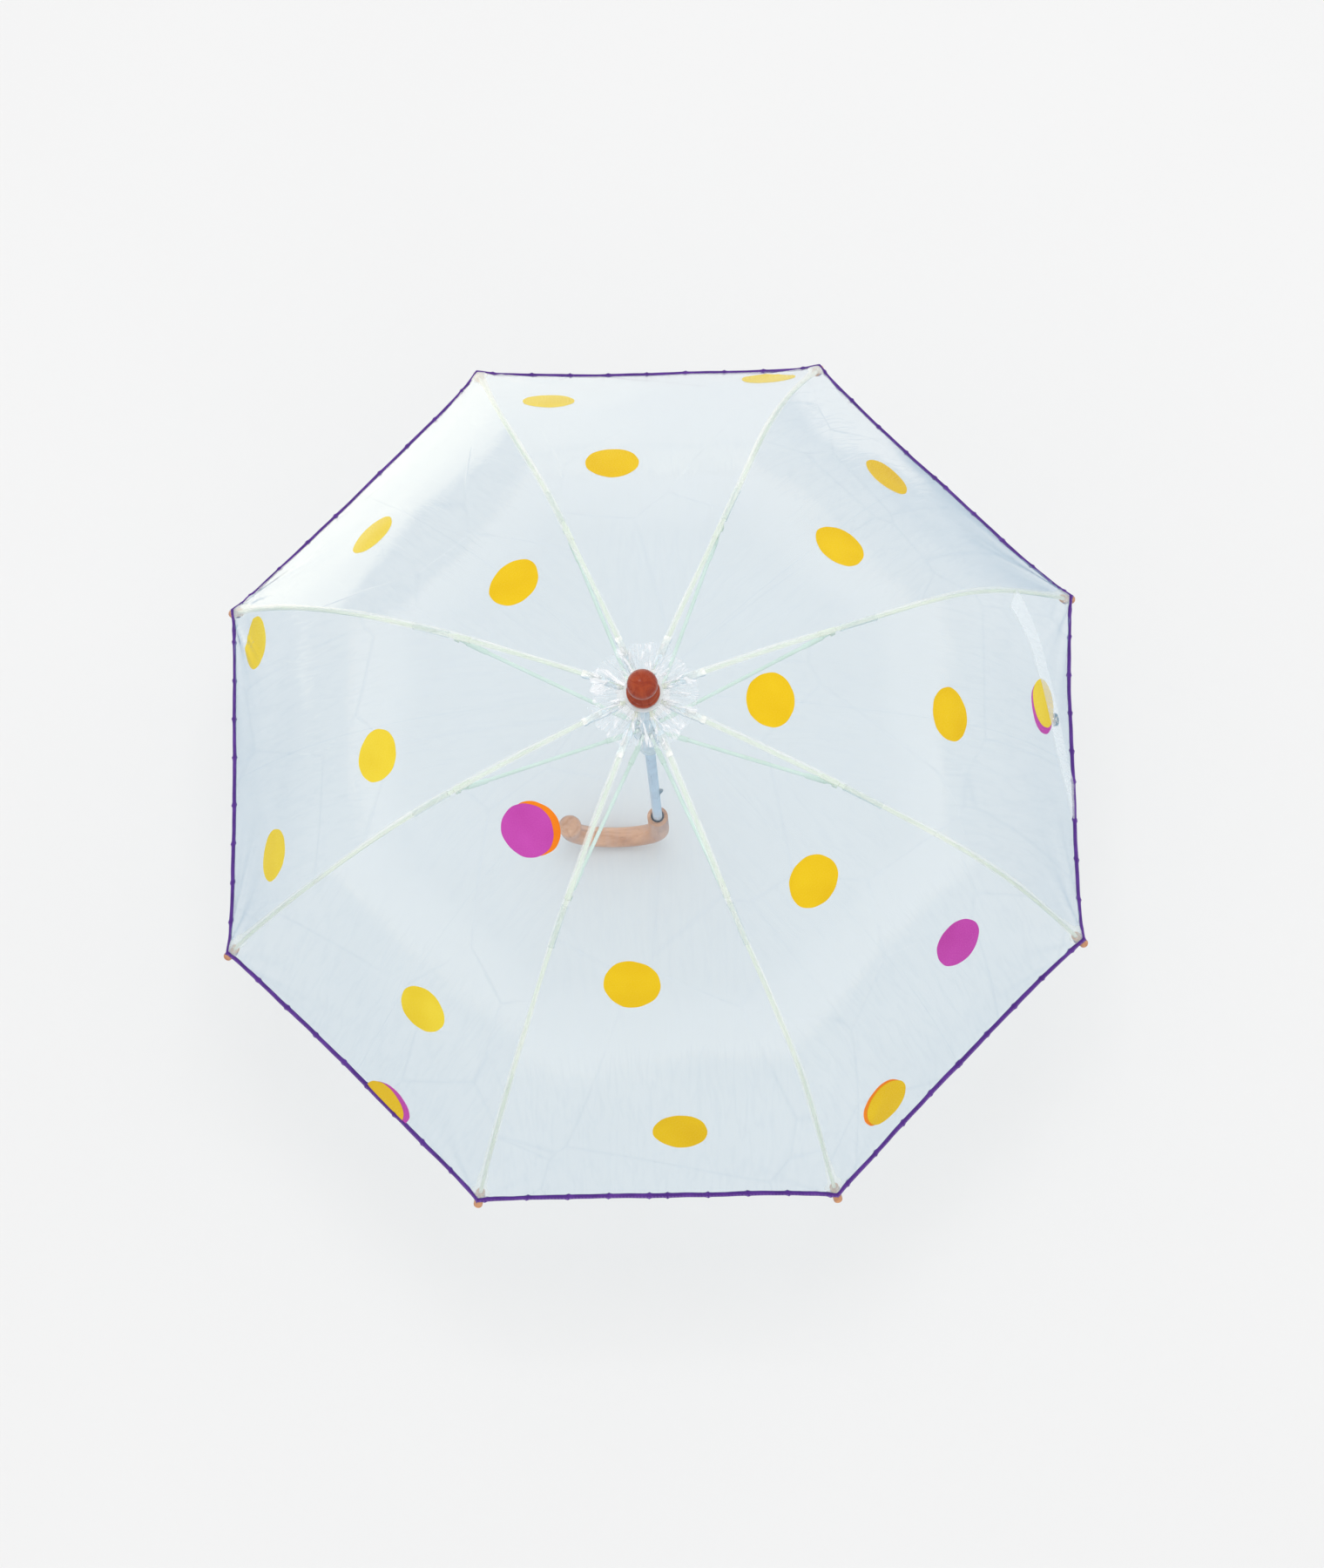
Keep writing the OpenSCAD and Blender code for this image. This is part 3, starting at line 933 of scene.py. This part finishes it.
def printed_dot(number, gore, across, down, radius, colour, side):
    """One printed spot, cut by hand so its edge is not quite round; split at the gore's middle."""
    half, rib = half_of(gore, side)
    rings, sides = 9, 72
    turn = np.linspace(0, 2 * np.pi, sides, endpoint=False)
    wobble = 1 + 0.018 * np.sin(2 * turn + number) + 0.012 * np.sin(3 * turn + 2.1 * number)
    wobble += 0.010 * np.sin(5 * turn + 0.6 * number) + 0.004 * np.sin(11 * turn + number)
    points, faces = [(0.0, 0.0, 0.0)], []
    for r in range(1, rings + 1):
        size = radius * wobble * r / rings
        points += [(float(x), float(y), 0.0) for x, y in zip(size * np.cos(turn), size * np.sin(turn))]
    for c in range(sides):
        d = (c + 1) % sides
        faces.append((0, 1 + c, 1 + d))
        for r in range(rings - 1):
            a = 1 + r * sides
            faces.append((a + c, a + sides + c, a + sides + d, a + d))
    points = [((across + p[0]) * PRINT_SCALE, (down + p[1]) * PRINT_SCALE, 0) for p in points]
    if max(side * p[0] for p in points) <= 0.3 * mm:
        return None
    piece = new_piece("dot_%s_%d" % (half[5:], number), points, faces)
    trim_cut(piece, side, 1.5 * mm)
    flat = points_of(piece)
    lay_cut(piece, flat[:, :2] + (CUT_STEP * gore, 0))
    under_gore, under_across, under_down = DOTS[number - 1][:3]
    over_another = number and under_gore == gore and math.hypot(under_across - across, under_down - down) < 12
    lift = 0.38 * mm if over_another else 0.24 * mm
    reach = rib_line(flat[:, 1])[0]
    swing = bow_turn(reach, np.full(len(flat), gore * 2 * HALF)) * reach
    move_points(piece, film_at(gore, flat[:, 0] - swing, flat[:, 1], lift))
    start_edit(piece)
    bpy.ops.mesh.normals_make_consistent(inside=False)
    bpy.ops.object.mode_set(mode="OBJECT")
    normal = piece.data.polygons[0].normal
    if normal.z < 0:
        piece.data.flip_normals()
    thicken(piece, 0.08 * mm)
    smooth(piece)
    finish_with(piece, colour)
    with_half[half].append(piece)
    return piece, half, rib


dots = []
for number, (gore, across, down, radius, colour) in enumerate(DOTS):
    for side in (-1, 1):
        made = printed_dot(number, gore, across, down, radius, colour, side)
        if made:
            dots.append(made)

# ---- tie strap and snap


def strap_half(side):
    """Clear strap that lies on the gore on the +X side, held by a snap."""
    half, rib = half_of(0, side)
    path = [(-42, 466), (-22, 454), (2, 437), (29, 424), (72, 400), (98, 378), (112, 350)]
    knots = np.array(path, float)
    u = np.linspace(0, len(knots) - 1, 90)
    k = np.minimum(u.astype(int), len(knots) - 2)
    f = u - k
    line = knots[k] * (1 - f)[:, None] + knots[k + 1] * f[:, None]
    eased = [np.convolve(np.pad(line[:, c], 8, "edge"), np.ones(17) / 17, "valid") for c in (0, 1)]
    line = np.stack(eased, axis=1)
    tangent = np.gradient(line, axis=0)
    tangent /= np.linalg.norm(tangent, axis=1)[:, None]
    normal = np.stack([-tangent[:, 1], tangent[:, 0]], axis=1)
    columns = 13
    share = np.linspace(-1, 1, columns)
    width = 9.0 * np.minimum(1, np.minimum(u, u[-1] - u) * 6 + 0.72)
    flat = line[:, None] + normal[:, None] * (share * width[:, None])[..., None]
    flat = flat.reshape(-1, 2) * mm
    piece = new_piece("strap_" + half[5:], [(p[0], p[1], 0) for p in flat], grid_faces(90, columns))
    trim_cut(piece, side, 2.2 * mm)
    flat = points_of(piece)
    lay_cut(piece, flat[:, :2])
    off_line = flat[:, None, :2] / mm - line[None]
    near_line = np.min(np.hypot(off_line[..., 0], off_line[..., 1]), axis=1)
    bead = np.clip((near_line - 7.4) / 1.6, 0, 1)
    lift = (0.75 + 0.35 * np.sin(np.pi * bead)) * mm
    move_points(piece, film_at(0, flat[:, 0], flat[:, 1], lift))
    if piece.data.polygons[0].normal.z < 0:
        piece.data.flip_normals()
    piece.data.update()
    if piece.data.polygons[0].normal.x < 0:
        piece.data.flip_normals()
    thicken(piece, 0.45 * mm)
    smooth(piece)
    finish_with(piece, "strap_film")
    with_half[half].append(piece)
    return piece, half, rib


straps = [strap_half(-1), strap_half(1)]
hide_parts("tie_strap")

SNAP = film_at(0, 29 * mm, 424 * mm, 0.0)
SNAP_OUT = film_at(0, 29 * mm, 424 * mm, 10 * mm) - SNAP


def snap_fastener():
    """Two-part snap: a rolled ring, a dished middle and a sprung post."""
    rolled = [(-1, 4.2), (-1, 5), (1.1, 5), (1.5, 4.9), (1.9, 4.5), (2, 4), (1.85, 3.5), (1.4, 3.2)]
    post = [(1.2, 2.7), (1.25, 2.2), (1.7, 1.95), (2.5, 1.9), (2.9, 1.6), (3, 1), (2.8, 0.55), (2.75, 0.2)]
    piece = turned("snap", rolled + post, 28)
    settle(piece, along(SNAP, SNAP_OUT), 40)
    finish_with(piece, "nickel")
    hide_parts("snap_stud")
    with_half["film_right_1"].append(piece)
    return piece


snap = snap_fastener()

# ---- ribs


def rib_rod():
    """Lower rod of rib 1: a ring swept round the rib's three bends, with closed ends."""
    place = rib_place(1, ARCS[0] + 0.6 * mm)
    flat = Matrix.Rotation(-rib_azimuth(1), 4, "Z") @ place
    pick_nothing()
    bpy.ops.mesh.primitive_circle_add(vertices=12, radius=1.5 * mm)
    piece = fresh("rib_rod")
    piece.matrix_world = flat
    pick_only(piece)
    place_into_mesh()
    start_edit(piece)
    for k in (1, 2, 3):
        radius = ARCS[k] / BENDS[k]
        x, z = corners[k]
        centre = (x - radius * math.sin(slopes[k]), 0, HUB + z - radius * math.cos(slopes[k]))
        first = 0.6 * mm if k == 1 else 0
        last = 3 * mm if k == 3 else 0
        angle = BENDS[k] * (1 - (first + last) / ARCS[k])
        bpy.ops.mesh.spin(steps=14, angle=-angle, center=centre, axis=(0, 1, 0))
    pick_whole()
    bpy.ops.mesh.fill_holes(sides=16)
    end_edit()
    return settle(piece, Matrix.Rotation(rib_azimuth(1), 4, "Z"), 50)


def tubular_joiner():
    """Clear tube that slides over the rib below the stretcher joint, with rolled ends."""
    rings = [(-17, 1.7), (-17, 2.2), (-16.2, 2.55), (-15, 2.45), (-13.5, 2.25), (13.5, 2.2), (15.2, 2.4),
             (16.4, 2.5), (17, 2.1), (17, 1.7)]
    piece = turned("joiner", rings, 20)
    start_edit(piece)

    def end_cap(centre, normal):
        return abs(normal.z) > 0.99 and abs(centre.z) > 16.9 * mm and centre.xy.length < 0.1 * mm

    pick_faces(piece, end_cap)
    bpy.ops.mesh.delete(type="FACE")
    end_edit()
    return settle(piece, None, 45)


def tip_tie():
    """Three turns of binding thread round a wooden tip, with a small knot on the outside."""
    pick_nothing()
    pieces = []
    for number, (z, size) in enumerate(((-0.8, 0.45), (0.1, 0.58), (1.0, 0.42))):
        lean = (0.06 * (number - 1), 0.10 - 0.05 * number, 0)
        around, thread = (3.6 + 0.3 * size) * mm, size * mm
        bpy.ops.mesh.primitive_torus_add(major_segments=30, minor_segments=8, major_radius=around,
                                         minor_radius=thread, location=(0, 0, z * mm), rotation=lean)
        pieces.append(bpy.context.object)
    knot_place = (-4.2 * mm, 0, 0.1 * mm)
    bpy.ops.mesh.primitive_uv_sphere_add(segments=14, ring_count=9, radius=1.35 * mm, location=knot_place)
    knot = bpy.context.object
    start_edit(knot)
    bpy.ops.transform.resize(value=(0.7, 1.35, 0.95))
    pick_whole()
    end_edit()
    pieces.append(knot)
    pick_nothing()
    for piece in pieces:
        piece.select_set(True)
    bpy.context.view_layer.objects.active = pieces[0]
    bpy.ops.object.join()
    piece = fresh("tip_tie")
    while piece.data.uv_layers:
        piece.data.uv_layers.remove(piece.data.uv_layers[0])
    co = points_of(piece)
    lay_cut(piece, np.stack([np.arctan2(co[:, 1], co[:, 0]) * 4 * mm, co[:, 2]], axis=-1))
    return settle(piece, None, 60)


def bow_mesh(piece):
    move_points(piece, bowed(points_of(piece)))
    piece.data.update()


rod = rib_rod()
joiner = tubular_joiner()
tie = tip_tie()
for i in range(1, RIBS + 1):
    spin = Matrix.Rotation(rib_azimuth(i) - rib_azimuth(1), 4, "Z")
    lower = copy_of(rod, "rib_rod_%d" % i, spin)
    bow_mesh(lower)
    finish_with(lower, "rib")
    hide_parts("rib_lower_%d" % i)
    tube = copy_of(joiner, "joiner_%d" % i, rib_place(i, ARCS[0] + 22 * mm))
    bow_mesh(tube)
    finish_with(tube, "joiner_plastic")
    bend, tip = tuple(rib_point(i, ARCS[0])), tuple(rib_point(i, RIM))
    for piece in (lower, tube):
        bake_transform(piece)
    thread = copy_of(tie, "tip_tie_%d" % i, rib_place(i, RIM - 4 * mm))
    finish_with(thread, "binding")
    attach(thread, "rib_lower_%d" % i)
for original in (rod, joiner, tie):
    bpy.data.objects.remove(original)

# ---- rib ends


def rib_shoe():
    """White moulded end of a rib: a flat paddle that narrows to a collar."""
    pick_nothing()
    bpy.ops.mesh.primitive_cube_add(size=1, location=(0, 0, 0))
    piece = fresh("rib_shoe")
    piece.scale = (4.2 * mm, 5.6 * mm, 9 * mm)
    place_into_mesh()
    start_edit(piece)
    paddle = [(6, 1.12, 1.05), (7, 0.82, 0.95), (5, 0.92, 1)]
    collar = [(1.2, 1.15, 1.15), (2.5, 1, 1), (0.8, 0.85, 0.85)]
    for length, wide, high in paddle + collar:
        top = max(v.co.z for v in bmesh.from_edit_mesh(piece.data).verts)
        pick_faces(piece, lambda centre, normal: centre.z > top - 0.01 * mm)
        bpy.ops.mesh.extrude_region_move(TRANSFORM_OT_translate={"value": (0, 0, length * mm)})
        bpy.ops.transform.resize(value=(high, wide, 1))
    end_edit()
    bevel = piece.modifiers.new("edges", "BEVEL")
    bevel.width, bevel.segments, bevel.limit_method = 0.8 * mm, 3, "ANGLE"
    apply_all(piece)
    return settle(piece, None, 40)


shoe = rib_shoe()
for i in range(1, RIBS + 1):
    end = copy_of(shoe, "rib_shoe_%d" % i, rib_place(i, 13.5 * mm))
    finish_with(end, "white_plastic")
    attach(end, "rib_upper_%d" % i)
bpy.data.objects.remove(shoe)

# ---- knob


def turned_knob():
    """Collar, bead, waist and ball in one turning, over the top of the shaft."""
    low = float(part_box("crown_washer")[1].z)
    collar = [(0.1, 10.6), (0.3, 11.5), (0.9, 11.95), (1.6, 12.05), (3.6, 12.05), (4.6, 11.9), (5.2, 11.4)]
    bead = [(5.5, 10.7), (5.65, 10.2), (5.9, 10.05), (6.2, 10.3), (6.9, 10.75), (7.7, 10.8), (8.4, 10.4)]
    waist = [(8.9, 9.6), (9.3, 8.6), (10.4, 7.5), (12.0, 6.9), (13.6, 6.8), (14.6, 7.0)]
    rings = collar + bead + waist
    centre, radius = 25.0, 11.0
    for step in range(0, 17):
        angle = math.radians(-48 + 8.4 * step)
        rings.append((centre + radius * math.sin(angle), radius * math.cos(angle)))
    rings.append((centre + radius - 0.02, 0.6))
    piece = turned("knob", rings, 48, low)
    settle(piece, None, 60)
    finish_with(piece, "red_wood")
    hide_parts("ferrule")
    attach(piece, "frame")


turned_knob()

# ---- shaft collar in the handle


def grip_liner():
    """Thin steel ring in the top of the grip, round the shaft."""
    top = float(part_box("handle")[1].z)
    outside = [(-3.0, 4.2), (-3.0, 5.15), (0.2, 5.2), (0.5, 5.5), (0.75, 5.5)]
    inside = [(0.8, 5.1), (0.5, 4.55), (-0.5, 4.3), (-1.8, 4.2)]
    piece = turned("grip_liner", outside + inside, 36, top)
    settle(piece, None, 45)
    finish_with(piece, "socket")
    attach(piece, "frame")


grip_liner()

# ---- CAD nodes that stay

NODE_FINISH = {
    "shaft": "shaft",
    "handle": "light_wood",
    "crown_washer": "milky_plastic",
    "notch": "milky_plastic",
    "notch_wire": "wire",
    "runner": "milky_plastic",
    "runner_wire": "wire",
    "top_catch": "wire",
    "bottom_catch": "wire",
}
for i in range(1, RIBS + 1):
    NODE_FINISH["rib_upper_%d" % i] = "rib"
    NODE_FINISH["rib_tip_%d" % i] = "tip_wood"
    NODE_FINISH["stretcher_%d" % i] = "stretcher"
for name, finish in NODE_FINISH.items():
    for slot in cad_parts[name].material_slots:
        slot.material = finishes[finish]

# ---- soft pieces ride and fold

for piece, half, rib in bindings + seams + rosettes + dots + straps:
    fold_with(piece, half)
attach(snap, "film_right_1")
for piece, half, rib, area in canopy:
    fold_with(piece, half)

# ---- floor and light


def grey(value):
    return (value, value, value)


def studio():
    floor_z = float(cad_low.z) - 0.3 * mm

    def disc(name, radius, height):
        pick_nothing()
        at = (0, 0, height)
        bpy.ops.mesh.primitive_circle_add(vertices=96, radius=radius, fill_type="NGON", location=at)
        bpy.context.object.name = name
        place_into_mesh()
        return bpy.context.object

    floor = disc("floor", 14, floor_z)
    material, tree, shader = new_finish("floor")
    patch = cloudy(object_place(tree), 1.5, 2, 0.5)
    colour_with(shader, shades(patch, (0.3, grey(0.725)), (0.7, grey(0.735))))
    hold(shader, Roughness=0.9, Specular_IOR_Level=0.0)
    floor.data.materials.append(material)

    def only_in_gloss(card, material):
        card.visible_camera = card.visible_diffuse = card.visible_shadow = False
        card.visible_transmission = card.visible_volume_scatter = False
        material.cycles.emission_sampling = "NONE"
        card.data.materials.append(material)

    # a sheet on the floor that only shows in gloss: grey-blue, with one white bay behind the umbrella
    sheet = disc("gloss_sheet", 6, floor_z + mm)
    material, tree, shader = new_finish("gloss sheet")
    parts = add(tree, "SeparateXYZ")
    feed(parts.inputs[0], object_place(tree))
    ragged = maths("MULTIPLY_ADD", cloudy(object_place(tree), 9, 4, 0.65), 0.16, -0.08)
    x, y = plus(parts.outputs[0], ragged), plus(parts.outputs[1], ragged)
    out = maths("SQRT", plus(times(x, x), times(y, y)))
    lean = maths("DIVIDE", maths("ABSOLUTE", x), maths("MAXIMUM", y, 0.01))
    shore = minus(y, times(maths("MAXIMUM", x, 0.0), 0.5))
    behind = spread_over(shore, 0.27, 0.33, 0.0, 1.0)
    left = spread_over(x, 0.43, 0.38, 0.0, 1.0)
    near = spread_over(out, 1.32, 1.14, 0.0, 1.0)
    middle = spread_over(lean, 0.34, 0.24, 0.0, 1.0)
    bay = times(behind, left, maths("MAXIMUM", near, middle))
    line = maths("LESS_THAN", maths("ABSOLUTE", minus(parts.outputs[1], 2.05)), 0.16)
    bay = minus(bay, times(line, 0.35))
    side = spread_over(x, -0.35, 0.0, 1.0, 0.0)
    white = mixed(side, (0.88, 0.88, 0.87), (1.32, 1.27, 1.12))
    glow = add(tree, "Emission")
    feed(glow.inputs[0], mixed(bay, (0.30, 0.44, 0.56), white))
    feed(tree.nodes["Material Output"].inputs["Surface"], glow.outputs[0])
    only_in_gloss(sheet, material)

    # a small bright card high up on the left, for the sparkle of creases and varnish
    bpy.ops.mesh.primitive_plane_add(size=0.55, location=(-0.9, 0.8, 3.1), rotation=(0.2, -0.28, 0))
    card = bpy.context.object
    card.name = "sparkle_card"
    place_into_mesh()
    material, tree, shader = new_finish("sparkle card")
    glow = add(tree, "Emission")
    hold(glow, Color=(1.0, 1.0, 0.98, 1), Strength=9.0)
    feed(tree.nodes["Material Output"].inputs["Surface"], glow.outputs[0])
    only_in_gloss(card, material)

    data = bpy.data.lights.new("overhead", "AREA")
    data.shape, data.size, data.size_y, data.energy = "RECTANGLE", 1.2, 1.2, 22
    light = bpy.data.objects.new("overhead", data)
    light.location = (0.1, 0.5, 3.4)
    light.rotation_euler = (Vector((0, 0, 0.2)) - light.location).to_track_quat("-Z", "Y").to_euler()
    light.visible_camera = light.visible_glossy = False
    scene.collection.objects.link(light)

    world = bpy.data.worlds.new("studio")
    scene.world = world
    world.use_nodes = True
    tree = world.node_tree
    background = tree.nodes["Background"]
    path = add(tree, "LightPath")
    coordinates = add(tree, "TexCoord")
    parts = add(tree, "SeparateXYZ")
    feed(parts.inputs[0], coordinates.outputs["Generated"])
    height = maths("MULTIPLY_ADD", parts.outputs[2], 0.5, 0.5)
    low, middle = (0.92, 0.93, 0.94), (0.84, 0.87, 0.91)
    high, top = (0.50, 0.58, 0.68), (0.62, 0.70, 0.78)
    gradient = shades(height, (0.5, low), (0.58, middle), (0.65, high), (1.0, top))
    even = mixed(path.outputs["Is Glossy Ray"], grey(1.10), gradient)
    seen = mixed(path.outputs["Is Camera Ray"], even, grey(0.905))
    feed(background.inputs["Color"], seen)
    background.inputs["Strength"].default_value = 1.0


studio()
scene.view_settings.view_transform = "Standard"
scene.cycles.transparent_max_bounces = 32
